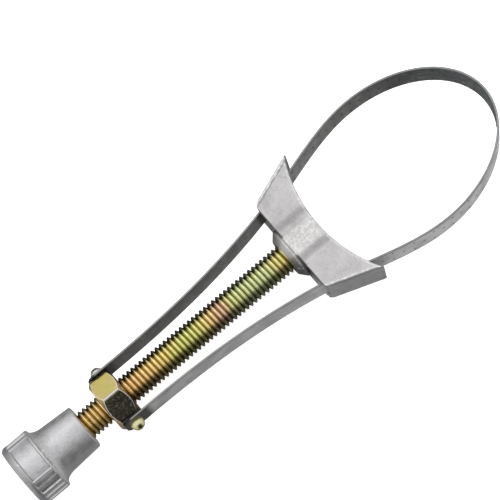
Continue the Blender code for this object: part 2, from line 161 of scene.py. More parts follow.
def ring_of(bm, radius, x, steps, shape=None):
    """Ring of vertices round the X axis, or one vertex when the radius is zero."""
    if radius <= 0:
        return [bm.verts.new((x, 0, 0))]
    ring = []
    for step in range(steps):
        angle = math.tau * step / steps
        r = shape(radius, x, angle) if shape else radius
        ring.append(bm.verts.new((x, r * math.cos(angle), r * math.sin(angle))))
    return ring


def revolve(name, profile, steps, shape=None, sharp_deg=40):
    """Closed surface of (radius, x) points swept round the X axis.

    shape(radius, x, angle) may change a point's radius.  A profile that doesn't start on
    the axis closes on itself.
    """
    bm = bmesh.new()
    rings = [ring_of(bm, radius, x, steps, shape) for radius, x in profile]
    for first, second in zip(rings, rings[1:]):
        bridge(bm, first, second)
    if profile[0][0] > 0:
        bridge(bm, rings[-1], rings[0])
    return finish_mesh(bm, name, sharp_deg)


def arc(centre_r, centre_x, radius, start_deg, end_deg, steps):
    """Profile points (radius, x) on an arc; 0 degrees points outwards, 90 towards +X."""
    points = []
    for step in range(steps + 1):
        angle = math.radians(start_deg + (end_deg - start_deg) * step / steps)
        points.append((centre_r + radius * math.cos(angle), centre_x + radius * math.sin(angle)))
    return points


def line(start, end, steps):
    """Profile points from start to end, without the start itself."""
    points = []
    for step in range(1, steps + 1):
        share = step / steps
        rise = (end[0] - start[0]) * share
        run = (end[1] - start[1]) * share
        points.append((start[0] + rise, start[1] + run))
    return points


def ramp(value, low, high):
    """0 below low, 1 above high, and smooth between them."""
    share = min(max((value - low) / (high - low), 0.0), 1.0)
    return share * share * (3 - 2 * share)


def near(value, place, inside, outside):
    """1 up to a distance from a place, and fading to 0 at a larger one."""
    return 1 - ramp(abs(value - place), inside, outside)


def hermite(share, start, start_rise, end, end_rise):
    """Cubic between two values with given rises at its ends."""
    square = share * share
    cube = square * share
    return (
        (2 * cube - 3 * square + 1) * start
        + (cube - 2 * square + share) * start_rise
        + (3 * square - 2 * cube) * end
        + (cube - square) * end_rise
    )


# ---- node helpers

class Nodes:
    """Short calls to build a node tree."""

    def __init__(self, tree, place):
        self.tree = tree
        self.place = self.add("ShaderNodeTexCoord").outputs[place]

    def add(self, kind, **settings):
        """A node with its settings."""
        node = self.tree.nodes.new(kind)
        for key, value in settings.items():
            setattr(node, key, value)
        return node

    def put(self, socket, value):
        """Link an output to an input, or set the input's value."""
        if isinstance(value, bpy.types.NodeSocket):
            self.tree.links.new(value, socket)
        elif isinstance(value, tuple) and len(value) == 3 and socket.type == "RGBA":
            socket.default_value = (*value, 1.0)
        else:
            socket.default_value = value

    def math(self, operation, first, second=0.5):
        """A Math node."""
        node = self.add("ShaderNodeMath", operation=operation)
        self.put(node.inputs[0], first)
        self.put(node.inputs[1], second)
        return node.outputs[0]

    def spread(self, value, low, high, new_low, new_high, smooth=False):
        """Map Range, clamped."""
        node = self.add("ShaderNodeMapRange")
        if smooth:
            node.interpolation_type = "SMOOTHSTEP"
        self.put(node.inputs["Value"], value)
        ends = {"From Min": low, "From Max": high, "To Min": new_low, "To Max": new_high}
        for name, number in ends.items():
            self.put(node.inputs[name], number)
        return node.outputs["Result"]

    def mix(self, fac, first, second):
        """Mix two colours."""
        node = self.add("ShaderNodeMix", data_type="RGBA")
        self.put(node.inputs["Factor"], fac)
        self.put(node.inputs["A"], first)
        self.put(node.inputs["B"], second)
        return node.outputs["Result"]

    def split(self):
        """X, Y and Z of the place."""
        node = self.add("ShaderNodeSeparateXYZ")
        self.put(node.inputs[0], self.place)
        return node.outputs

    def colours(self, fac, *stops):
        """A colour ramp of (position, colour) stops."""
        node = self.add("ShaderNodeValToRGB")
        self.put(node.inputs[0], fac)
        ends = node.color_ramp.elements
        while len(ends) < len(stops):
            ends.new(0.5)
        for end, (position, colour) in zip(ends, stops):
            end.position = position
            end.color = (*colour, 1.0)
        return node.outputs["Color"]


class Surface(Nodes):
    """A metal made of a Principled shader and procedural detail in object coordinates."""

    def __init__(self, name):
        self.material = bpy.data.materials.new(name)
        self.material.use_nodes = True
        super().__init__(self.material.node_tree, "Object")
        self.shader = self.tree.nodes["Principled BSDF"]

    def noise(self, scale, detail=4.0, rough=0.6, stretch=(1, 1, 1), distortion=0.0):
        """Noise with features of about 1 / scale metres."""
        mapping = self.add("ShaderNodeMapping")
        self.put(mapping.inputs["Vector"], self.place)
        mapping.inputs["Scale"].default_value = stretch
        node = self.add("ShaderNodeTexNoise")
        self.put(node.inputs["Vector"], mapping.outputs[0])
        node.inputs["Scale"].default_value = scale
        node.inputs["Detail"].default_value = detail
        node.inputs["Roughness"].default_value = rough
        node.inputs["Distortion"].default_value = distortion
        return node.outputs["Fac"]

    def cells(self, scale):
        """Distance to scattered points, in their own spacing."""
        node = self.add("ShaderNodeTexVoronoi")
        self.put(node.inputs["Vector"], self.place)
        node.inputs["Scale"].default_value = scale
        return node.outputs["Distance"]

    def bump(self, height, distance, strength=1.0, normal=None):
        """Bump of a height in metres."""
        node = self.add("ShaderNodeBump")
        node.inputs["Strength"].default_value = strength
        node.inputs["Distance"].default_value = distance
        self.put(node.inputs["Height"], height)
        if normal is not None:
            self.put(node.inputs["Normal"], normal)
        return node.outputs["Normal"]

    def edges(self, low, high):
        """1 on convex edges, 0 on flats and in hollows."""
        point = self.add("ShaderNodeNewGeometry").outputs["Pointiness"]
        return self.spread(point, low, high, 0.0, 1.0)

    def attribute(self, name):
        """A number stored on the mesh."""
        return self.add("ShaderNodeAttribute", attribute_name=name).outputs["Fac"]

    def facing(self, blend=0.5):
        """0 where the surface faces the viewer, 1 where it turns away."""
        node = self.add("ShaderNodeLayerWeight")
        node.inputs["Blend"].default_value = blend
        return node.outputs["Facing"]

    def toward(self, direction):
        """1 where the surface looks in a direction, in object coordinates."""
        node = self.add("ShaderNodeVectorMath", operation="DOT_PRODUCT")
        self.put(node.inputs[0], self.place.node.outputs["Normal"])
        node.inputs[1].default_value = direction
        return node.outputs["Value"]

    def radius(self):
        """Distance from the screw's axis."""
        xyz = self.split()
        square = self.math("ADD", self.math("POWER", xyz[1], 2.0), self.math("POWER", xyz[2], 2.0))
        return self.math("SQRT", square)

    def finish(self, colour, metallic, roughness, normal):
        """Connect the shader and return the material."""
        self.put(self.shader.inputs["Base Color"], colour)
        self.put(self.shader.inputs["Metallic"], metallic)
        self.put(self.shader.inputs["Roughness"], roughness)
        self.put(self.shader.inputs["Normal"], normal)
        return self.material


# ---- materials

# Cast metal.
CAST_GREY = (0.55, 0.55, 0.56)
SADDLE_GREY = (0.53, 0.52, 0.52)
# Painted sheen together with rubbing: on the saddle's marked places and on convex edges.
SADDLE_SHEEN_AND_WEAR = (0.86, 0.86, 0.85)
EDGE_SHEEN_AND_WEAR = (0.88, 0.88, 0.87)
# Yellow zinc: rubbed and stained, with painted shade at silhouettes, in thread roots and on the nut's
# lower facet, and painted highlights on crests and corners.
RUBBED_GOLD = (0.96, 0.84, 0.46)
STAIN_BROWN = (0.36, 0.27, 0.12)
SILHOUETTE_SHADE = (0.045, 0.040, 0.018)
ROOT_SHADE = (0.13, 0.10, 0.035)
CREST_HIGHLIGHT = (0.98, 0.92, 0.80)
CORNER_HIGHLIGHT = (0.98, 0.90, 0.84)
FACET_SHADE = (0.030, 0.034, 0.028)
FACET_SHADE_SPECK = (0.34, 0.33, 0.36)
# Blued band steel.
HEAD_ON_BLUE = (0.085, 0.10, 0.115)
STAIN_BLUE = (0.03, 0.035, 0.04)
RUBBED_STEEL = (0.62, 0.62, 0.62)
NUT_END_BLACK = (0.018, 0.017, 0.012)
# Painted shadow where the left leg enters the saddle.
TUNNEL_SHADOW = (0.012, 0.012, 0.010)
PUNCH_BLACK = (0.015, 0.015, 0.016)
CUT_EDGE = (0.34, 0.34, 0.33)
BAND_METALLIC = 0.55
CAST_METALLIC = 0.85
# Plated hardware.
RIVET_SILVER = (0.80, 0.79, 0.76)
RIVET_GOLD = (0.80, 0.76, 0.42)
WASHER_GREY = (0.70, 0.70, 0.69)


def scaled(colour, factor):
    """A colour made lighter or darker."""
    return tuple(min(part * factor, 1.0) for part in colour)


def cast_material(name, base, roughness, edge_sheen_and_wear, marked=False, darker_end=None):
    """Die-cast light metal: mottled and finely pitted, with painted glints, painted shade in its
    hollows, and rubbed edges painted brighter as highlights.

    marked uses the mesh's own marks of painted sheen over rubbing and of painted shade, and below the X
    given as its last argument it is darker.
    """
    s = Surface(name)
    broad = s.noise(90, 5, 0.6)
    cloud = s.noise(420, 6, 0.65)
    grain = s.noise(1500, 5, 0.75)
    blend = s.math("ADD", s.math("MULTIPLY", broad, 0.5), s.math("MULTIPLY", cloud, 0.5))
    tone = s.colours(blend, (0.38, scaled(base, 0.80)), (0.50, base), (0.62, scaled(base, 1.12)))
    # The brightest grain specks are painted lighter as glints.
    tone = s.mix(s.spread(grain, 0.54, 0.68, 0.0, 0.6), tone, scaled(base, 1.30))
    tone = s.mix(s.spread(grain, 0.32, 0.46, 0.5, 0.0), tone, scaled(base, 0.60))
    if marked:
        # Painted shade on upper faces that tilt towards -Y; walls that face -Y are left out.
        slope = s.toward((0.0, -1.0, 0.0))
        slope_shade = s.spread(slope, 0.02, 0.30, 0.0, 0.62)
        slope = s.math("MULTIPLY", slope_shade, s.spread(slope, 0.5, 0.8, 1.0, 0.0))
        tone = s.mix(slope, tone, scaled(base, 0.32))
        # Painted sheen on the beads, the front edge, the pad's middle and the collar's line, broken up
        # by rubbing.
        rubbing = s.spread(s.noise(700, 4, 0.7), 0.42, 0.62, 0.15, 1.0)
        sheen_and_wear = s.math("MULTIPLY", s.attribute("sheen_and_wear"), rubbing)
        tone = s.mix(sheen_and_wear, tone, SADDLE_SHEEN_AND_WEAR)
        # Painted shade from the mesh's marks.
        tone = s.mix(s.attribute("painted_shade"), tone, scaled(base, 0.12))
    # The colour is darker below the given X, on the knob's rear rim.
    if darker_end:
        end = s.spread(s.split()[0], darker_end - 0.25 * MM, darker_end + 0.25 * MM, 0.45, 0.0, True)
        tone = s.mix(end, tone, scaled(base, 0.45))
    # Painted shade in hollows and along concave edges.
    tone = s.mix(s.edges(0.487, 0.44), tone, scaled(base, 0.35))
    # Convex edges: rubbed lighter and painted lighter still as highlights; they are also less rough.
    edge = s.math("MULTIPLY", s.edges(0.515, 0.56), edge_sheen_and_wear)
    tone = s.mix(edge, tone, EDGE_SHEEN_AND_WEAR)
    rough = s.spread(cloud, 0.3, 0.7, roughness - 0.08, roughness + 0.08)
    rough = s.math("SUBTRACT", rough, s.math("MULTIPLY", edge, 0.18))
    pits = s.spread(s.cells(1300), 0.0, 0.25, 0.0, 1.0)
    normal = s.bump(broad, 0.0012, 0.40)
    normal = s.bump(cloud, 0.00022, 0.7, normal)
    normal = s.bump(grain, 0.00009, 0.8, normal)
    normal = s.bump(pits, 0.00003, 0.3, normal)
    return s.finish(tone, CAST_METALLIC, rough, normal)


def zinc_material(name, tints, roughness, painted_shading, grain, shaded_side=None):
    """Yellow passivated zinc whose tint drifts between gold, rose and green along the part.

    The number after the roughness sets the painted shade in the thread's roots and on turned-away sides
    and the painted highlight on the crests, grain scales the stains, and the last argument is the
    direction of a facet painted near black as shade.
    """
    s = Surface(name)
    drift = s.math("MULTIPLY", s.math("SUBTRACT", s.noise(80, 3, 0.5), 0.5), 0.026)
    swirl = s.math("MULTIPLY", s.math("SUBTRACT", s.noise(300, 3, 0.5), 0.5), 0.018)
    place = s.math("ADD", s.math("ADD", s.split()[0], drift), swirl)
    tint = s.colours(s.spread(place, SCREW_REAR, SCREW_FRONT, 0.0, 1.0), *tints)
    smear = s.noise(1500 * grain, 4, 0.6)
    tint = s.mix(s.spread(smear, 0.46, 0.66, 0.0, 0.35), tint, RUBBED_GOLD)
    stain = s.spread(s.noise(650 * grain, 4, 0.6), 0.55, 0.72, 0.0, 0.45)
    tint = s.mix(stain, tint, STAIN_BROWN)
    # Painted shade on sides that turn away from the viewer.
    away = s.spread(s.facing(), 0.42, 0.80, 0.0, min(painted_shading * 1.3, 1.0), True)
    tint = s.mix(away, tint, SILHOUETTE_SHADE)
    # Painted shade in the thread's roots.
    root_mask = s.spread(s.radius(), ROOT_R, ROOT_R + 0.30 * THREAD_DEPTH, painted_shading, 0.0, True)
    tint = s.mix(root_mask, tint, ROOT_SHADE)
    # Painted highlight along the thread's crests.
    crest = s.spread(s.radius(), THREAD_R - 0.07 * THREAD_DEPTH, THREAD_R, 0.0, min(painted_shading, 0.4))
    tint = s.mix(crest, tint, CREST_HIGHLIGHT)
    rough = s.spread(smear, 0.3, 0.7, roughness - 0.06, roughness + 0.12)
    normal = s.bump(s.noise(3200, 3, 0.6), 0.00003, 0.45)
    if shaded_side:
        # Painted shade: the facet facing the given side is painted near black, with lighter specks.
        specks = s.spread(s.noise(1300, 4, 0.75), 0.52, 0.68, 0.0, 1.0)
        side = s.spread(s.toward(shaded_side), 0.57, 0.65, 0.0, 1.0)
        shade = s.mix(specks, FACET_SHADE, FACET_SHADE_SPECK)
        tint = s.mix(s.math("MULTIPLY", side, 0.93), tint, shade)
        # Painted highlight on the nut's corners and chamfer edges.
        tint = s.mix(s.math("MULTIPLY", s.attribute("sheen_and_wear"), 0.9), tint, CORNER_HIGHLIGHT)
    return s.finish(tint, 1.0, rough, normal)


def band_material():
    """Blued spring steel: dark inside, greyer outside, stained, streaked, with bright edges, nearly
    black by the nut, and a painted shadow where the left leg enters the saddle.
    """
    s = Surface("band_blued_steel")
    xyz = s.split()
    stains = s.noise(110, 5, 0.62, (1, 1, 0.8), 0.4)
    patches = s.noise(300, 5, 0.6, (1, 1, 0.5), 0.2)
    streaks = s.noise(170, 5, 0.7, (1, 1, 16))
    along = s.spread(xyz[0], NUT_FRONT, LOOP_TIP_X, 0.0, 1.0)
    inner = s.colours(
        along, (0.0, (0.13, 0.13, 0.13)), (0.34, (0.20, 0.20, 0.20)), (0.58, (0.34, 0.34, 0.335)),
        (0.74, (0.19, 0.19, 0.18)), (0.88, (0.060, 0.066, 0.062)), (1.0, (0.085, 0.098, 0.098)),
    )
    outer = s.colours(
        along, (0.0, (0.42, 0.42, 0.42)), (0.40, (0.54, 0.54, 0.54)), (0.60, (0.66, 0.66, 0.655)),
        (1.0, (0.84, 0.84, 0.83)),
    )
    tone = s.mix(s.attribute("outer"), inner, outer)
    tone = s.mix(s.spread(s.facing(), 0.35, 0.70, 0.80, 0.0, True), tone, HEAD_ON_BLUE)
    dark = s.mix(0.35, tone, STAIN_BLUE)
    tone = s.mix(s.spread(stains, 0.42, 0.62, 0.0, 0.8), tone, dark)
    light = s.mix(0.35, tone, RUBBED_STEEL)
    tone = s.mix(s.spread(patches, 0.50, 0.66, 0.0, 0.6), tone, light)
    tone = s.mix(s.spread(streaks, 0.48, 0.70, 0.0, 0.5), tone, light)
    # Nearly black close to the nut.
    nut_end = s.spread(xyz[0], NUT_FRONT + 1.5 * MM, NUT_FRONT + 4.0 * MM, 0.92, 0.0)
    tone = s.mix(nut_end, tone, NUT_END_BLACK)
    # Painted shadow on the left leg where it goes into the saddle's tunnel.
    mouth = s.spread(xyz[0], SADDLE_X - 3.2 * MM, SADDLE_X - 1.0 * MM, 0.0, 0.85, True)
    inside = s.spread(xyz[0], SADDLE_X + 0.6 * MM, SADDLE_X + 2.4 * MM, 1.0, 0.0)
    mouth = s.math("MULTIPLY", mouth, inside)
    mouth = s.math("MULTIPLY", mouth, s.spread(xyz[1], 0.0, MM, 0.0, 1.0))
    tone = s.mix(mouth, tone, TUNNEL_SHADOW)
    tone = s.mix(s.spread(s.attribute("punch"), 0.25, 0.7, 0.0, 0.95), tone, PUNCH_BLACK)
    rim = s.spread(s.math("ABSOLUTE", xyz[2]), BAND_HALF - 0.16 * MM, BAND_HALF - 0.02 * MM, 0.0, 0.7)
    tone = s.mix(rim, tone, CUT_EDGE)
    rough = s.spread(patches, 0.3, 0.7, 0.32, 0.48)
    normal = s.bump(stains, 0.00020, 0.35)
    normal = s.bump(streaks, 0.00003, 0.5, normal)
    normal = s.bump(s.noise(2400, 3, 0.6), 0.00002, 0.4, normal)
    return s.finish(tone, BAND_METALLIC, rough, normal)


def steel_material(name, base, roughness):
    """Bright plated steel for the small hardware."""
    s = Surface(name)
    smear = s.noise(900, 5, 0.65)
    tone = s.colours(smear, (0.35, scaled(base, 0.7)), (0.65, base))
    rough = s.spread(smear, 0.3, 0.7, roughness - 0.05, roughness + 0.12)
    return s.finish(tone, 1.0, rough, s.bump(s.noise(3000, 3, 0.6), 0.00003, 0.3))


# ---- knob

RIB_GROUPS = 2
RIBS_PER_GROUP = 8
RIB_PITCH = math.radians(14.6)
RIB_FIRST = math.radians(123.5)
RIB_FLAT = math.radians(2.9)
RIB_SOFT = math.radians(2.0)
SHOULDER_X = KNOB_REAR + 12.4 * MM
RIM_END_X = KNOB_REAR + 2.8 * MM
KNOB_CORE_R = KNOB_R * 0.75
WINDOW_DROP = 1.0 * MM
WINDOW_RAMP = (2.5 * MM, 3.2 * MM)
RIB_RAMP = (2.3 * MM, 2.9 * MM)


def rib_share(angle):
    """1 on a rib's crest, 0 between ribs and in the windows."""
    best = 0.0
    for group in range(RIB_GROUPS):
        for rib in range(RIBS_PER_GROUP):
            centre = RIB_FIRST + group * math.tau / RIB_GROUPS + rib * RIB_PITCH
            offset = abs((angle - centre + math.pi) % math.tau - math.pi)
            best = max(best, 1 - ramp(offset, RIB_FLAT, RIB_FLAT + RIB_SOFT))
    return best


def knob_radius(radius, x, angle):
    """The grip band is cut back between its ribs and in two windows, but not at its rear rim."""
    if x > SHOULDER_X or radius < KNOB_CORE_R:
        return radius
    behind = 1 - ramp(x, SHOULDER_X - 1.2 * MM, SHOULDER_X - 0.7 * MM)
    along = x - KNOB_REAR
    drop = WINDOW_DROP * ramp(along, *WINDOW_RAMP)
    rise = rib_share(angle) * ramp(along, *RIB_RAMP)
    return radius - drop * behind * (1 - rise)


def make_knob():
    """Cast knob: rounded rear rim, ribbed grip band, flare, neck and the screw's mouth."""
    neck_rear_x = KNOB_REAR + 18.0 * MM
    neck_rear_r = 10.2 * MM
    neck_front_r = 9.5 * MM
    mouth_r = 6.35 * MM
    bore_r = 4.9 * MM
    mouth_depth = 3.0 * MM
    mouth_round = 0.5 * MM
    corner = 0.9 * MM
    rim = 3.0 * MM
    edge = 0.7 * MM
    bore_end = KNOB_REAR + 8.5 * MM
    dish_r = 8.2 * MM
    dish = 0.6 * MM
    dish_slope = 0.8 * MM
    profile = [(0.0, bore_end), (bore_r, bore_end)]
    profile += line(profile[-1], (bore_r, KNOB_FRONT - mouth_depth), 4)
    profile += line(profile[-1], (mouth_r, KNOB_FRONT - mouth_depth), 2)
    profile += line(profile[-1], (mouth_r, KNOB_FRONT - mouth_round), 4)
    profile += arc(mouth_r + mouth_round, KNOB_FRONT - mouth_round, mouth_round, 180, 90, 4)[1:]
    profile += line(profile[-1], (neck_front_r - corner, KNOB_FRONT), 3)
    profile += arc(neck_front_r - corner, KNOB_FRONT - corner, corner, 90, 0, 8)[1:]
    profile += line(profile[-1], (neck_rear_r, neck_rear_x), 16)
    rise = KNOB_R - edge - neck_rear_r
    run = neck_rear_x - SHOULDER_X
    curve_steps = 16
    for step in range(1, curve_steps + 1):
        turn = math.pi / 2 * step / curve_steps
        profile.append((neck_rear_r + rise * (1 - math.cos(turn)), neck_rear_x - run * math.sin(turn)))
    profile += arc(KNOB_R - edge, SHOULDER_X - edge, edge, 80, 0, 6)[1:]
    profile += line(profile[-1], (KNOB_R, SHOULDER_X - 1.3 * MM), 8)
    profile += line(profile[-1], (KNOB_R, KNOB_REAR + 4.6 * MM), 12)
    profile += line(profile[-1], (KNOB_R, KNOB_REAR + rim * 0.7), 18)
    profile += arc(KNOB_R - rim, KNOB_REAR + rim * 0.7, rim, 0, -90, 16)[1:-1]
    profile = [(r, max(x, KNOB_REAR)) for r, x in profile]
    profile += line(profile[-1], (dish_r + dish_slope / 2, KNOB_REAR), 3)
    profile += line(profile[-1], (dish_r - dish_slope / 2, KNOB_REAR + dish), 4)
    profile += line(profile[-1], (dish_slope, KNOB_REAR + dish), 8)
    profile.append((0.0, KNOB_REAR + dish))
    mesh = revolve("knob_body", profile, 360, knob_radius, 42)
    metal = cast_material("knob_cast", CAST_GREY, 0.44, 0.9, darker_end=RIM_END_X)
    piece("knob_body", mesh, metal, "screw", "cast_metal", "knob")


# ---- screw and nut

# Places over one pitch, from one crest to the next, that the thread's rows follow, with their heights.
THREAD_ROWS = (
    (-0.06, 0.985), (0.0, 1.0), (0.06, 0.985), (0.12, 0.93), (0.20, 0.76), (0.29, 0.53),
    (0.38, 0.29), (0.46, 0.07), (0.50, 0.0), (0.54, 0.07), (0.62, 0.29), (0.71, 0.53),
    (0.80, 0.76), (0.88, 0.93),
)
THREAD_COLUMNS = 72
THREAD_PHASE = 0.06


def thread_radius(x, angle):
    """Distance of the screw's thread from the axis at a place."""
    place = (x / PITCH - angle / math.tau + THREAD_PHASE) % 1.0
    from_crest = min(place, 1 - place)
    flank = THREAD_ROWS[1:9]
    for (near, high), (far, low) in zip(flank, flank[1:]):
        if from_crest <= far:
            height = high + (low - high) * (from_crest - near) / (far - near)
            return ROOT_R + THREAD_DEPTH * height
    return ROOT_R


def thread_vertices(bm, low_x, high_x):
    """Rows of vertices that wind along a right-hand thread, squared off at both ends."""
    fade = 1.2 * MM
    first = math.floor(low_x / PITCH) - 2
    last = math.ceil(high_x / PITCH) + 2
    rows = []
    for turn in range(first, last):
        for place, height in THREAD_ROWS:
            row = []
            for column in range(THREAD_COLUMNS):
                share = column / THREAD_COLUMNS
                angle = math.tau * share
                x = min(max((turn + place + share - THREAD_PHASE) * PITCH, low_x), high_x)
                end = ramp(min(x - low_x, high_x - x), 0.0, fade)
                radius = ROOT_R + THREAD_DEPTH * height * end
                row.append(bm.verts.new((x, radius * math.cos(angle), radius * math.sin(angle))))
            rows.append(row)
    return rows


def make_screw():
    """Threaded rod; its plain ends are the shank in the knob and the journal in the saddle."""
    low_x = KNOB_FRONT - 2.0 * MM
    high_x = SADDLE_X + 1.4 * MM
    groove_low, groove_high = span("retaining_ring", 0)
    groove_gap = 0.3 * MM
    journal_r = 4.0 * MM
    groove_r = 3.3 * MM
    shank_r = 4.5 * MM
    chamfer = 0.5 * MM
    bm = bmesh.new()
    rows = thread_vertices(bm, low_x, high_x)
    per_turn = len(THREAD_ROWS)
    for i in range(len(rows) - 1):
        for j in range(THREAD_COLUMNS - 1):
            bm.faces.new((rows[i][j], rows[i][j + 1], rows[i + 1][j + 1], rows[i + 1][j]))
        if i + per_turn + 1 < len(rows):
            seam = (rows[i][-1], rows[i + per_turn][0], rows[i + per_turn + 1][0], rows[i + 1][-1])
            bm.faces.new(seam)
    journal = [
        (journal_r, high_x), (journal_r, groove_low - groove_gap), (groove_r, groove_low - groove_gap),
        (groove_r, groove_high + groove_gap), (journal_r, groove_high + groove_gap),
        (journal_r, SCREW_FRONT - chamfer), (journal_r - chamfer, SCREW_FRONT), (0.0, SCREW_FRONT),
    ]
    shank = [(shank_r, low_x), (shank_r, SCREW_REAR + chamfer), (shank_r - chamfer, SCREW_REAR)]
    shank.append((0.0, SCREW_REAR))
    for end_row, profile in ((rows[-1], journal), (rows[0], shank)):
        previous = end_row
        for radius, x in profile:
            ring = ring_of(bm, radius, x, THREAD_COLUMNS)
            bridge(bm, previous, ring)
            previous = ring
    bmesh.ops.remove_doubles(bm, verts=bm.verts, dist=1e-6)
    mesh = finish_mesh(bm, "screw_thread", 70)
    tints = (
        (0.00, (0.76, 0.56, 0.24)), (0.22, (0.76, 0.57, 0.24)), (0.33, (0.84, 0.60, 0.30)),
        (0.43, (0.86, 0.70, 0.28)), (0.51, (0.66, 0.72, 0.26)), (0.58, (0.86, 0.70, 0.32)),
        (0.64, (0.74, 0.50, 0.38)), (0.70, (0.70, 0.72, 0.34)), (0.78, (0.68, 0.78, 0.48)),
        (0.88, (0.84, 0.72, 0.28)), (0.95, (0.90, 0.68, 0.24)), (1.00, (0.90, 0.68, 0.24)),
    )
    metal = zinc_material("screw_zinc", tints, 0.24, 0.75, 1.0)
    piece("screw_thread", mesh, metal, "screw", "yellow_zinc", "screw")


NUT_CORNER = NUT_HALF / math.cos(math.pi / 6)
NUT_CORE_R = NUT_HALF * 0.8
NUT_CHAMFER = 1.8 * MM
NUT_CORNER_ROUND = 0.14 * MM
THREAD_GAP = 0.3 * MM
NUT_BORE_R = ROOT_R + THREAD_GAP
NUT_FACE_R = NUT_HALF - 0.4 * MM
NUT_OUTSIDE = NUT_CORNER + 0.05 * MM


def nut_flat(angle):
    """Distance of the hexagon's side from the axis; its flats are square to Y."""
    sector = math.pi / 3
    return NUT_HALF / math.cos((angle + sector / 2) % sector - sector / 2)


def nut_radius(radius, x, angle):
    """Hexagon with slightly rounded corners, a cone at each end and a thread inside."""
    if radius < NUT_CORE_R:
        return max(radius, thread_radius(x, angle) + THREAD_GAP)
    flat = nut_flat(angle)
    soft = NUT_CORNER_ROUND * ramp(flat, NUT_CORNER - 4 * NUT_CORNER_ROUND, NUT_CORNER)
    return min(flat - soft, radius)


def mark_corner_sheen(mesh):
    """Store how close each vertex lies to the nut's corners and to its chamfers' edges, where a
    highlight is painted.
    """
    sheen_and_wear = mesh.attributes.new("sheen_and_wear", "FLOAT", "POINT")
    for vertex in mesh.vertices:
        x, y, z = vertex.co
        from_end = min(x - NUT_REAR, NUT_FRONT - x)
        flat = nut_flat(math.atan2(z, y))
        cone = NUT_FACE_R + (NUT_OUTSIDE - NUT_FACE_R) * from_end / NUT_CHAMFER
        corner = ramp(math.hypot(y, z), NUT_CORNER - 0.42 * MM, NUT_CORNER - 0.16 * MM)
        rim = near(cone, flat, 0.08 * MM, 0.26 * MM)
        sheen_and_wear.data[vertex.index].value = max(corner, rim)


def make_nut():
    """Hexagonal nut: chamfered ends, countersunk mouths and a tapped bore."""
    mouth_r = THREAD_R + 0.5 * MM
    mouth_depth = 1.6 * MM
    profile = [(NUT_BORE_R, NUT_REAR + mouth_depth)]
    profile += line(profile[-1], (mouth_r, NUT_REAR), 14)
    profile += line(profile[-1], (NUT_FACE_R, NUT_REAR), 8)
    profile += line(profile[-1], (NUT_OUTSIDE, NUT_REAR + NUT_CHAMFER), 18)
    profile += line(profile[-1], (NUT_OUTSIDE, NUT_FRONT - NUT_CHAMFER), 16)
    profile += line(profile[-1], (NUT_FACE_R, NUT_FRONT), 18)
    profile += line(profile[-1], (mouth_r, NUT_FRONT), 8)
    profile += line(profile[-1], (NUT_BORE_R, NUT_FRONT - mouth_depth), 14)
    profile += line(profile[-1], profile[0], 70)[:-1]
    mesh = revolve("nut_body", profile, 360, nut_radius, 24)
    mark_corner_sheen(mesh)
    tints = (
        (0.00, (0.72, 0.50, 0.20)), (0.24, (0.70, 0.48, 0.20)), (0.285, (0.62, 0.56, 0.16)),
        (0.31, (0.76, 0.52, 0.26)), (0.35, (0.66, 0.50, 0.28)), (1.00, (0.72, 0.50, 0.20)),
    )
    lower_facet = (0.0, -math.sin(math.pi / 6), math.cos(math.pi / 6))
    metal = zinc_material("nut_zinc", tints, 0.20, 0.0, 0.3, shaded_side=lower_facet)
    piece("nut_body", mesh, metal, "nut", "yellow_zinc", "hex_nut")


def make_rivet(name, node, side, metal):
    """Domed rivet head with a hollow in its middle, standing out of the band's end."""
    seat = LEG_Y + BAND_THICK / 2 + 0.02 * MM
    height = RIVET_TOP - seat
    shank = 1.6 * MM
    hollow_r = 0.95 * MM
    hollow = 0.9 * MM
    crown = math.acos(hollow_r * 1.25 / RIVET_R)
    inner_end = NUT_HALF - 2.0 * MM
    profile = [(0.0, seat + height - hollow), (hollow_r * 0.6, seat + height - hollow * 0.92)]
    profile.append((hollow_r * 0.95, seat + height - hollow * 0.45))
    steps = 16
    for step in range(steps + 1):
        turn = crown * (1 - step / steps)
        profile.append((RIVET_R * math.cos(turn), seat + height * math.sin(turn) / math.sin(crown)))
    profile += [(RIVET_R - 0.1 * MM, seat - 0.02 * MM), (shank, seat - 0.02 * MM)]
    profile += [(shank, inner_end), (0.0, inner_end)]
    mesh = revolve(name, profile, 64, None, 50)
    mesh.transform(Matrix.Rotation(math.radians(90 * side), 4, "Z"))
    mesh.transform(Matrix.Translation((RIVET_X, 0, 0)))
    piece(name, mesh, metal, "nut", "bright_steel", node)


# ---- band

DIMPLE_PITCH = 8.8 * MM
DIMPLE_R = 0.75 * MM
DIMPLE_DEPTH = 0.24 * MM
DIMPLE_EDGE = 4.4 * MM
BAND_CORNER_R = 4.2 * MM
BAND_SOFT = 0.2 * MM
BAND_ACROSS = 46


def band_y(x):
    """Distance of the left leg and loop side from the screw's axis."""
    if x < LEG_START_X:
        return LEG_Y
    if x < SLOT_X:
        run = SLOT_X - LEG_START_X
        return hermite((x - LEG_START_X) / run, LEG_Y, 0.0, SLOT_Y, SLOT_SLOPE * run)
    run = LOOP_WIDE_X - SLOT_X
    return hermite((x - SLOT_X) / run, SLOT_Y, SLOT_SLOPE * run, LOOP_HALF, 0.0)


def band_line():
    """Left half of the band's centre line, from its end on the nut to the loop's tip."""
    points = []
    count = 400
    for step in range(count + 1):
        x = BAND_END_X + (LOOP_WIDE_X - BAND_END_X) * step / count
        points.append(Vector((x, band_y(x), 0)))
    reach = LOOP_TIP_X - LOOP_WIDE_X
    for step in range(1, count + 1):
        turn = math.pi / 2 * (1 - step / count)
        points.append(Vector((LOOP_WIDE_X + reach * math.cos(turn), LOOP_HALF * math.sin(turn), 0)))
    return points


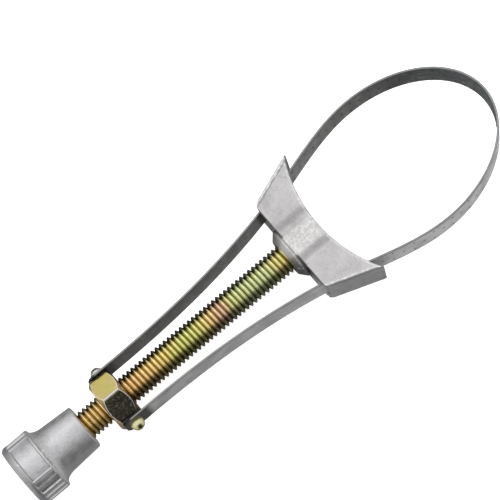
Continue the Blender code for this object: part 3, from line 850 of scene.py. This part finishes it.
def resample(points, spacing):
    """Points at an even spacing along a line, with the distance of each from its start."""
    lengths = [0.0]
    for first, second in zip(points, points[1:]):
        lengths.append(lengths[-1] + (second - first).length)
    count = max(2, round(lengths[-1] / spacing))
    result = []
    index = 0
    for step in range(count + 1):
        target = lengths[-1] * step / count
        while index < len(points) - 2 and lengths[index + 1] < target:
            index += 1
        share = (target - lengths[index]) / (lengths[index + 1] - lengths[index])
        result.append((points[index].lerp(points[index + 1], min(share, 1.0)), target))
    return result


def punch_share(distance, z, first):
    """How deeply the sheet is punched at a place on the loop: rows of two, then of one."""
    if distance < first - DIMPLE_R * 2:
        return 0.0
    row = round((distance - first) / (DIMPLE_PITCH / 2))
    along = distance - first - row * DIMPLE_PITCH / 2
    share = 0.0
    for height in ((0.0,) if row % 2 else (DIMPLE_EDGE, -DIMPLE_EDGE)):
        gap = math.hypot(along, z - height) / DIMPLE_R
        share += math.exp(-1.6 * gap * gap)
    return share


def end_height(distance):
    """Half width of the band near its rounded end on the nut."""
    if distance > BAND_CORNER_R:
        return BAND_HALF
    reach = BAND_CORNER_R - distance
    return BAND_HALF - BAND_CORNER_R + math.sqrt(max(BAND_CORNER_R ** 2 - reach ** 2, 0.0))


def band_strip(name, stations, first_punch, rounded):
    """Closed strip along stations of (point, distance); its outer side faces away from the screw."""
    bm = bmesh.new()
    outer_layer = bm.verts.layers.float.new("outer")
    punch_layer = bm.verts.layers.float.new("punch")
    half_thick = BAND_THICK / 2
    previous = None
    last = len(stations) - 1
    for index, (point, distance) in enumerate(stations):
        tangent = stations[min(index + 1, last)][0] - stations[max(index - 1, 0)][0]
        if index == last and first_punch is not None:
            tangent = Vector((0, -1, 0))
        outwards = Vector((-tangent.y, tangent.x, 0)).normalized()
        half = end_height(distance) if rounded else BAND_HALF
        ring = []
        for side in (1, -1):
            for step in range(BAND_ACROSS + 1):
                share = 2 * step / BAND_ACROSS - 1
                z = side * share * (half - BAND_SOFT)
                punch = punch_share(distance, z, first_punch) if first_punch is not None else 0.0
                at = point + outwards * (side * half_thick - punch * DIMPLE_DEPTH)
                ring.append((at + Vector((0, 0, z)), max(side, 0), punch))
            corner = Vector((0, 0, side * half))
            thin = half_thick - BAND_SOFT * 0.8
            ring.append((point + outwards * side * thin + corner, 0.5, 0.0))
            ring.append((point - outwards * side * thin + corner, 0.5, 0.0))
        verts = []
        for place, outer, punch in ring:
            vert = bm.verts.new(place)
            vert[outer_layer] = outer
            vert[punch_layer] = punch
            verts.append(vert)
        if previous:
            bridge(bm, previous, verts)
        else:
            bm.faces.new(verts)
        previous = verts
    bm.faces.new(previous)
    return finish_mesh(bm, name, 60)


def mirrored(mesh, name):
    """A copy of a mesh across the XZ plane, with its faces still pointing out."""
    copy = mesh.copy()
    copy.name = name
    copy.transform(Matrix.Scale(-1, 4, (0, 1, 0)))
    copy.flip_normals()
    return copy


def make_band():
    """The band as four strips that meet inside the saddle's tunnels and at the loop's tip."""
    metal = band_material()
    path = band_line()
    joint_x = SADDLE_X + 8.0 * MM
    split = next(index for index, point in enumerate(path) if point.x > joint_x)
    leg_mesh = band_strip("band_leg_left", resample(path[:split + 1], 1.0 * MM), None, True)
    loop_stations = resample(path[split:], 0.42 * MM)
    length = loop_stations[-1][1]
    first_punch = length % (DIMPLE_PITCH / 2) + DIMPLE_PITCH
    loop_mesh = band_strip("band_loop_left", loop_stations, first_punch, False)
    for word, side in (("left", 1), ("right", -1)):
        for kind, mesh in (("leg", leg_mesh), ("loop", loop_mesh)):
            name = "band_" + kind + "_" + word
            own = mesh if side > 0 else mirrored(mesh, name)
            nodes = ("band_end_" + word, "band_arm_" + word) if kind == "leg" else ("band_tip",)
            strip = piece(name, own, metal, None, "band_steel", *nodes)
            if kind == "leg":
                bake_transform(strip)
            else:
                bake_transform(strip)


# ---- saddle

# Distance of each valley from the axis, and the widths of its outer and inner slopes.
LEFT_VALLEY = (6.0 * MM, 4.2 * MM, 2.2 * MM)
RIGHT_VALLEY = (8.8 * MM, 1.8 * MM, 4.4 * MM)
VALLEY_DROP = 0.70 * MM
PAD_DROP = 0.22 * MM
BEAD_WIDTH = 1.6 * MM
WING_DROP = 0.24 * MM
TIP_STEP = 0.22 * MM
TIP_STEP_CENTRE = (SADDLE_X + 5.0 * MM, 14.0 * MM)
TIP_STEP_RAMP = (13.4 * MM, 14.1 * MM)
BEAD_PLACE = 0.8 * MM
CREASE_DEPTH = 0.95 * MM
COLLAR_LINE_X = SADDLE_X - 1.25 * MM
EDGE_ROUND = 0.7 * MM
CORNER_ROUND = 2.0 * MM


def slab(name, outline, z_low, z_high):
    """Solid of an outline of (x, y) points between two heights."""
    bm = bmesh.new()
    face = bm.faces.new([bm.verts.new((x, y, z_low)) for x, y in outline])
    grown = bmesh.ops.extrude_face_region(bm, geom=[face])
    top = [item for item in grown["geom"] if isinstance(item, bmesh.types.BMVert)]
    bmesh.ops.translate(bm, verts=top, vec=(0, 0, z_high - z_low))
    return finish_mesh(bm, name)


def apply_modifiers(obj):
    """Make an object's evaluated mesh its own."""
    graph = bpy.context.evaluated_depsgraph_get()
    mesh = bpy.data.meshes.new_from_object(obj.evaluated_get(graph))
    obj.modifiers.clear()
    obj.data = mesh


def combine(target, mesh, operation):
    """Apply a Boolean with a helper mesh, which is then removed."""
    helper = bpy.data.objects.new(mesh.name, mesh)
    bpy.context.scene.collection.objects.link(helper)
    modifier = target.modifiers.new("combine", "BOOLEAN")
    modifier.operation = operation
    modifier.object = helper
    apply_modifiers(target)
    bpy.data.objects.remove(helper, do_unlink=True)


def saddle_front_x(y):
    """Where the concave front lies at a distance from the axis."""
    sag = SADDLE_TIP_X - SADDLE_FRONT_X
    radius = (SADDLE_TIP_HALF ** 2 + sag ** 2) / (2 * sag)
    return SADDLE_FRONT_X + radius - math.sqrt(radius ** 2 - y ** 2)


def saddle_outline():
    """Plan of the saddle: straight rear, spreading sides with sharp tips, and a concave front."""
    blunt = 0.25 * MM
    steps = 48
    # The remesh wears the tips down, so they start longer.
    longer_x = 0.7 * MM
    longer_y = 0.4 * MM
    outline = [(SADDLE_X, SADDLE_REAR_HALF), (SADDLE_X, -SADDLE_REAR_HALF)]
    for step in range(steps + 1):
        y = (SADDLE_TIP_HALF - blunt) * (2 * step / steps - 1)
        if step == 0:
            outline.append((SADDLE_TIP_X + longer_x, -SADDLE_TIP_HALF - longer_y))
        outline.append((saddle_front_x(y), y))
        if step == steps:
            outline.append((SADDLE_TIP_X + longer_x, SADDLE_TIP_HALF + longer_y))
    return outline


def side_gap(x, y):
    """Distance of a place on the upper face from the outer wall."""
    slope = (SADDLE_TIP_HALF - SADDLE_REAR_HALF) / (SADDLE_TIP_X - SADDLE_X)
    wall = SADDLE_REAR_HALF + slope * (x - SADDLE_X)
    return (wall - abs(y)) / math.hypot(1, slope)


def face_drop(x, y):
    """How far the cast faces lie below their outer beads: a dished pad, wings, one stepped tip."""
    low_y, slope, rise = LEFT_VALLEY if y > 0 else RIGHT_VALLEY
    valley = 1 - ramp(abs(y), low_y, low_y + slope)
    middle = 1 - ramp(abs(y), low_y - rise, low_y - 0.2 * MM)
    wing = WING_DROP * ramp(side_gap(x, y), BEAD_WIDTH * 0.5, BEAD_WIDTH)
    drop = wing + (VALLEY_DROP - WING_DROP) * valley - (VALLEY_DROP - PAD_DROP) * middle
    tip = math.hypot(x - TIP_STEP_CENTRE[0], y - TIP_STEP_CENTRE[1])
    return drop + TIP_STEP * ramp(tip, *TIP_STEP_RAMP) * ramp(y, 12 * MM, 14 * MM)


def weigh_edges(mesh):
    """Mark the edges to round: the rims of both faces a little, the two rear corners fully."""
    weights = mesh.attributes.new("bevel_weight_edge", "FLOAT", "EDGE")
    for edge in mesh.edges:
        first, second = (mesh.vertices[index].co for index in edge.vertices)
        if abs(first.z - second.z) > MM:
            weight = 1.0 if first.x < SADDLE_X + MM else 0.0
        else:
            weight = EDGE_ROUND / CORNER_ROUND
        weights.data[edge.index].value = weight


def collar_radius(radius, x, angle):
    """The collar is cut off level, just below the casting's faces."""
    level = SADDLE_HALF_HEIGHT - 0.2 * MM
    return min(radius, level / max(abs(math.sin(angle)), 0.1))


def saddle_core():
    """Hollow solid with two tunnels and a boss with a conical collar."""
    half = SADDLE_HALF_HEIGHT
    mesh = slab("saddle_body", saddle_outline(), -half, half)
    weigh_edges(mesh)
    body = bpy.data.objects.new("saddle_body", mesh)
    bpy.context.scene.collection.objects.link(body)
    rounding = body.modifiers.new("edges", "BEVEL")
    rounding.width = CORNER_ROUND
    rounding.segments = 3
    rounding.limit_method = "WEIGHT"
    rounding.use_clamp_overlap = False
    apply_modifiers(body)
    low_x = SADDLE_X - MM
    high_x = SADDLE_X + 30 * MM
    for side in (1, -1):
        outline = [
            (low_x, side * BOSS_HALF),
            (high_x, side * BOSS_HALF),
            (high_x, side * (TUNNEL_REAR_HALF + TUNNEL_SLOPE * (high_x - SADDLE_X))),
            (low_x, side * (TUNNEL_REAR_HALF + TUNNEL_SLOPE * (low_x - SADDLE_X))),
        ]
        combine(body, slab("tunnel", outline, -TUNNEL_HALF, TUNNEL_HALF), "DIFFERENCE")
    collar = [(0.0, SADDLE_X + MM), (COLLAR_R, SADDLE_X + MM), (COLLAR_R, SADDLE_X - COLLAR_RIM)]
    collar += [(COLLAR_REAR_R, COLLAR_REAR), (0.0, COLLAR_REAR)]
    combine(body, revolve("collar", collar, 96, collar_radius), "UNION")
    open_x = SADDLE_FRONT_X + 2 * MM
    bore = [
        (0.0, open_x), (RING_POCKET_R, open_x), (RING_POCKET_R, RING_POCKET_X),
        (JOURNAL_BORE_R, RING_POCKET_X), (JOURNAL_BORE_R, THREAD_POCKET_X),
        (THREAD_POCKET_R, THREAD_POCKET_X), (THREAD_POCKET_R, COLLAR_REAR - MM),
        (0.0, COLLAR_REAR - MM),
    ]
    combine(body, revolve("bore", bore, 96), "DIFFERENCE")
    return body


def mark_saddle(mesh):
    """Store where the casting gets painted sheen over its rubbing, and where painted shade goes: in
    creases, at the collar's neck and on its lower side.
    """
    sheen_and_wear = mesh.attributes.new("sheen_and_wear", "FLOAT", "POINT")
    painted_shade = mesh.attributes.new("painted_shade", "FLOAT", "POINT")
    for vertex in mesh.vertices:
        x, y, z = vertex.co
        top = ramp(abs(z), SADDLE_HALF_HEIGHT - 0.9 * MM, SADDLE_HALF_HEIGHT - 0.5 * MM)
        gap = side_gap(x, y)
        bead = near(gap, BEAD_PLACE, 0.25 * MM, 0.7 * MM)
        front = 1 - ramp(saddle_front_x(min(abs(y), SADDLE_TIP_HALF)) - x, 0.5 * MM, 1.6 * MM)
        # The pad's middle and the collar's line are painted highlight; beads and the front edge are
        # painted sheen over rubbing.
        middle = 0.65 * near(y, 0.0, 3.5 * MM, 5.5 * MM)
        arc_line = near(x, COLLAR_LINE_X, 0.1 * MM, 0.45 * MM)
        sheen_and_wear.data[vertex.index].value = max(top * max(bead, front, middle), arc_line)
        # Painted shade in the side crease, at the collar's neck, on the collar's lower side and in its
        # hollow.
        depth = SADDLE_HALF_HEIGHT - abs(z)
        crease = near(depth, CREASE_DEPTH, 0.15 * MM, 0.4 * MM)
        crease *= 1 - ramp(gap, 0.25 * MM, 0.5 * MM)
        neck = near(x, SADDLE_X, 0.2 * MM, 0.5 * MM) * near(z, 0.0, 9.6 * MM, 10.0 * MM)
        shade = (1 - ramp(z, 0.0, 9.6 * MM)) * (1 - ramp(x, SADDLE_X - 0.5 * MM, SADDLE_X))
        hollow = ramp(x, COLLAR_LINE_X + 0.2 * MM, COLLAR_LINE_X + 0.5 * MM)
        hollow *= 0.8 * (1 - ramp(x, SADDLE_X - 0.3 * MM, SADDLE_X))
        painted_shade.data[vertex.index].value = 0.75 * max(crease, neck, shade, hollow)


def make_saddle():
    """The saddle's casting, remeshed so that every edge and corner has a cast fillet."""
    body = saddle_core()
    remesh = body.modifiers.new("remesh", "REMESH")
    remesh.mode = "VOXEL"
    remesh.voxel_size = VOXEL
    soften = body.modifiers.new("soften", "SMOOTH")
    soften.factor = 0.5
    soften.iterations = 4
    apply_modifiers(body)
    for vertex in body.data.vertices:
        x, y, z = vertex.co
        if abs(z) > TUNNEL_HALF and x > SADDLE_X - COLLAR_RIM:
            share = (abs(z) - TUNNEL_HALF) / (SADDLE_HALF_HEIGHT - TUNNEL_HALF)
            vertex.co.z = z - math.copysign(face_drop(x, y if z > 0 else -abs(y)) * share, z)
    body.data.update()
    mark_saddle(body.data)
    body.data.materials.append(cast_material("saddle_cast", SADDLE_GREY, 0.50, 0.8, marked=True))
    body.data.shade_smooth()
    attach(body, "saddle")
    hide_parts("saddle_casting")


# ---- small hardware

def broken_section(inner, outer, low, high, soft):
    """Rectangle of (radius, x) points with its corners cut."""
    return [
        (inner, low + soft), (inner + soft, low), (outer - soft, low), (outer, low + soft),
        (outer, high - soft), (outer - soft, high), (inner + soft, high), (inner, high - soft),
    ]


def make_washer(node, body, metal):
    """Washer with softly broken edges."""
    profile = broken_section(JOURNAL_BORE_R, span(node, 1)[1], *span(node, 0), 0.15 * MM)
    name = node + "_disc"
    piece(name, revolve(name, profile, 96, None, 30), metal, body, "bright_steel", node)


def make_ring(metal):
    """Open spring ring: a flat bar with broken edges, bent round the journal."""
    inner = 3.6 * MM
    outer = -span("retaining_ring", 2)[0]
    gap = math.radians(24)
    steps = 72
    section = broken_section(inner, outer, *span("retaining_ring", 0), 0.12 * MM)
    bm = bmesh.new()
    previous = None
    for step in range(steps + 1):
        angle = math.pi / 2 + gap + (math.tau - 2 * gap) * step / steps
        out = Vector((0, math.cos(angle), math.sin(angle)))
        ring = [bm.verts.new(out * radius + Vector((x, 0, 0))) for radius, x in section]
        if previous:
            bridge(bm, previous, ring)
        else:
            bm.faces.new(ring)
        previous = ring
    bm.faces.new(previous)
    mesh = finish_mesh(bm, "retaining_ring_bar", 30)
    piece("retaining_ring_bar", mesh, metal, "screw", "bright_steel", "retaining_ring")


# ---- stage, lights, camera

FLOOR_SIZE = 3.0
FLOOR_GAP = 0.3 * MM
FLOOR_GLOW = 0.80
KEY_PLACE = Vector((0.0, 0.42, 0.8))
KEY_AIM = Vector((0.12, 0.0, 0.0))
KEY_SIZE = 0.5
KEY_POWER = 0.8
CAMERA_PLACE = Vector((0.0647, -0.2165, 0.8398))
CAMERA_AIM = Vector((0.1230, 0.0060, 0.0))
PICTURE_UP = Vector((0.6395, 0.7293, 0.2431))
CAMERA_LENS = 163.6
CAMERA_SHIFT = (-0.0228, 0.0177)
CAMERA_CLIP = (0.01, 20.0)


def make_floor():
    """Plain pale floor just under the lowest point."""
    bm = bmesh.new()
    bmesh.ops.create_grid(bm, x_segments=1, y_segments=1, size=FLOOR_SIZE)
    mesh = bpy.data.meshes.new("floor")
    bm.to_mesh(mesh)
    bm.free()
    floor = bpy.data.objects.new("floor", mesh)
    floor.location = (0.1, 0, CAD_BOX[0][2] - FLOOR_GAP)
    bpy.context.scene.collection.objects.link(floor)
    s = Surface("floor_paint")
    tone = s.colours(s.noise(3, 2, 0.5), (0.4, (0.93, 0.93, 0.93)), (0.6, (0.95, 0.95, 0.95)))
    s.put(s.shader.inputs["Base Color"], tone)
    s.put(s.shader.inputs["Roughness"], 0.9)
    s.put(s.shader.inputs["Emission Color"], (1.0, 1.0, 1.0))
    s.put(s.shader.inputs["Emission Strength"], FLOOR_GLOW)
    mesh.materials.append(s.material)
    floor.visible_glossy = False


def make_world():
    """White studio: bright above, a dark screen low on the right leg's side, side lights, dim below."""
    world = bpy.data.worlds.new("studio")
    bpy.context.scene.world = world
    world.use_nodes = True
    w = Nodes(world.node_tree, "Generated")
    xyz = w.split()
    above = w.spread(xyz[2], 0.02, 0.28, 0.0, 1.0, True)
    screen = w.spread(xyz[1], -0.80, -0.50, 0.04, 1.0, True)
    ends = w.spread(w.math("ABSOLUTE", xyz[0]), 0.35, 0.75, 0.0, 0.75, True)
    ends = w.math("MULTIPLY", ends, w.spread(xyz[2], -0.78, -0.45, 0.0, 1.0, True))
    below = w.spread(xyz[2], -0.50, -0.10, 0.21, 0.0, True)
    light = w.math("MAXIMUM", w.math("MULTIPLY", above, screen), w.math("MAXIMUM", ends, below))
    background = world.node_tree.nodes["Background"]
    w.put(background.inputs["Color"], (1.0, 1.0, 1.0))
    w.put(background.inputs["Strength"], light)


def make_key_light():
    """Large soft lamp above the left leg."""
    data = bpy.data.lights.new("key", "AREA")
    data.shape = "DISK"
    data.size = KEY_SIZE
    data.energy = KEY_POWER
    light = bpy.data.objects.new("key", data)
    light.location = KEY_PLACE
    light.rotation_euler = (KEY_AIM - KEY_PLACE).to_track_quat("-Z", "Y").to_euler()
    bpy.context.scene.collection.objects.link(light)


def make_camera():
    """The photograph's viewpoint: above the tool, tipped towards its right leg."""
    data = bpy.data.cameras.new("camera")
    camera = bpy.data.objects.new("camera", data)
    bpy.context.scene.collection.objects.link(camera)
    back = (CAMERA_PLACE - CAMERA_AIM).normalized()
    right = PICTURE_UP.cross(back).normalized()
    turn = Matrix((right, back.cross(right), back)).transposed().to_4x4()
    camera.matrix_world = Matrix.Translation(CAMERA_PLACE) @ turn
    data.lens = CAMERA_LENS
    data.shift_x, data.shift_y = CAMERA_SHIFT
    data.clip_start, data.clip_end = CAMERA_CLIP
    bpy.context.scene.camera = camera


make_knob()
make_screw()
make_nut()
make_rivet("rivet_head_left", "rivet_left", 1, steel_material("rivet_silver", RIVET_SILVER, 0.20))
make_rivet("rivet_head_right", "rivet_right", -1, steel_material("rivet_gold", RIVET_GOLD, 0.20))
make_band()
make_saddle()
bright = steel_material("washer_steel", WASHER_GREY, 0.28)
make_washer("thrust_washer", "saddle", bright)
make_washer("retaining_washer", "screw", bright)
make_ring(bright)
make_floor()
make_world()
make_key_light()
make_camera()
bpy.context.scene.view_settings.view_transform = "Standard"
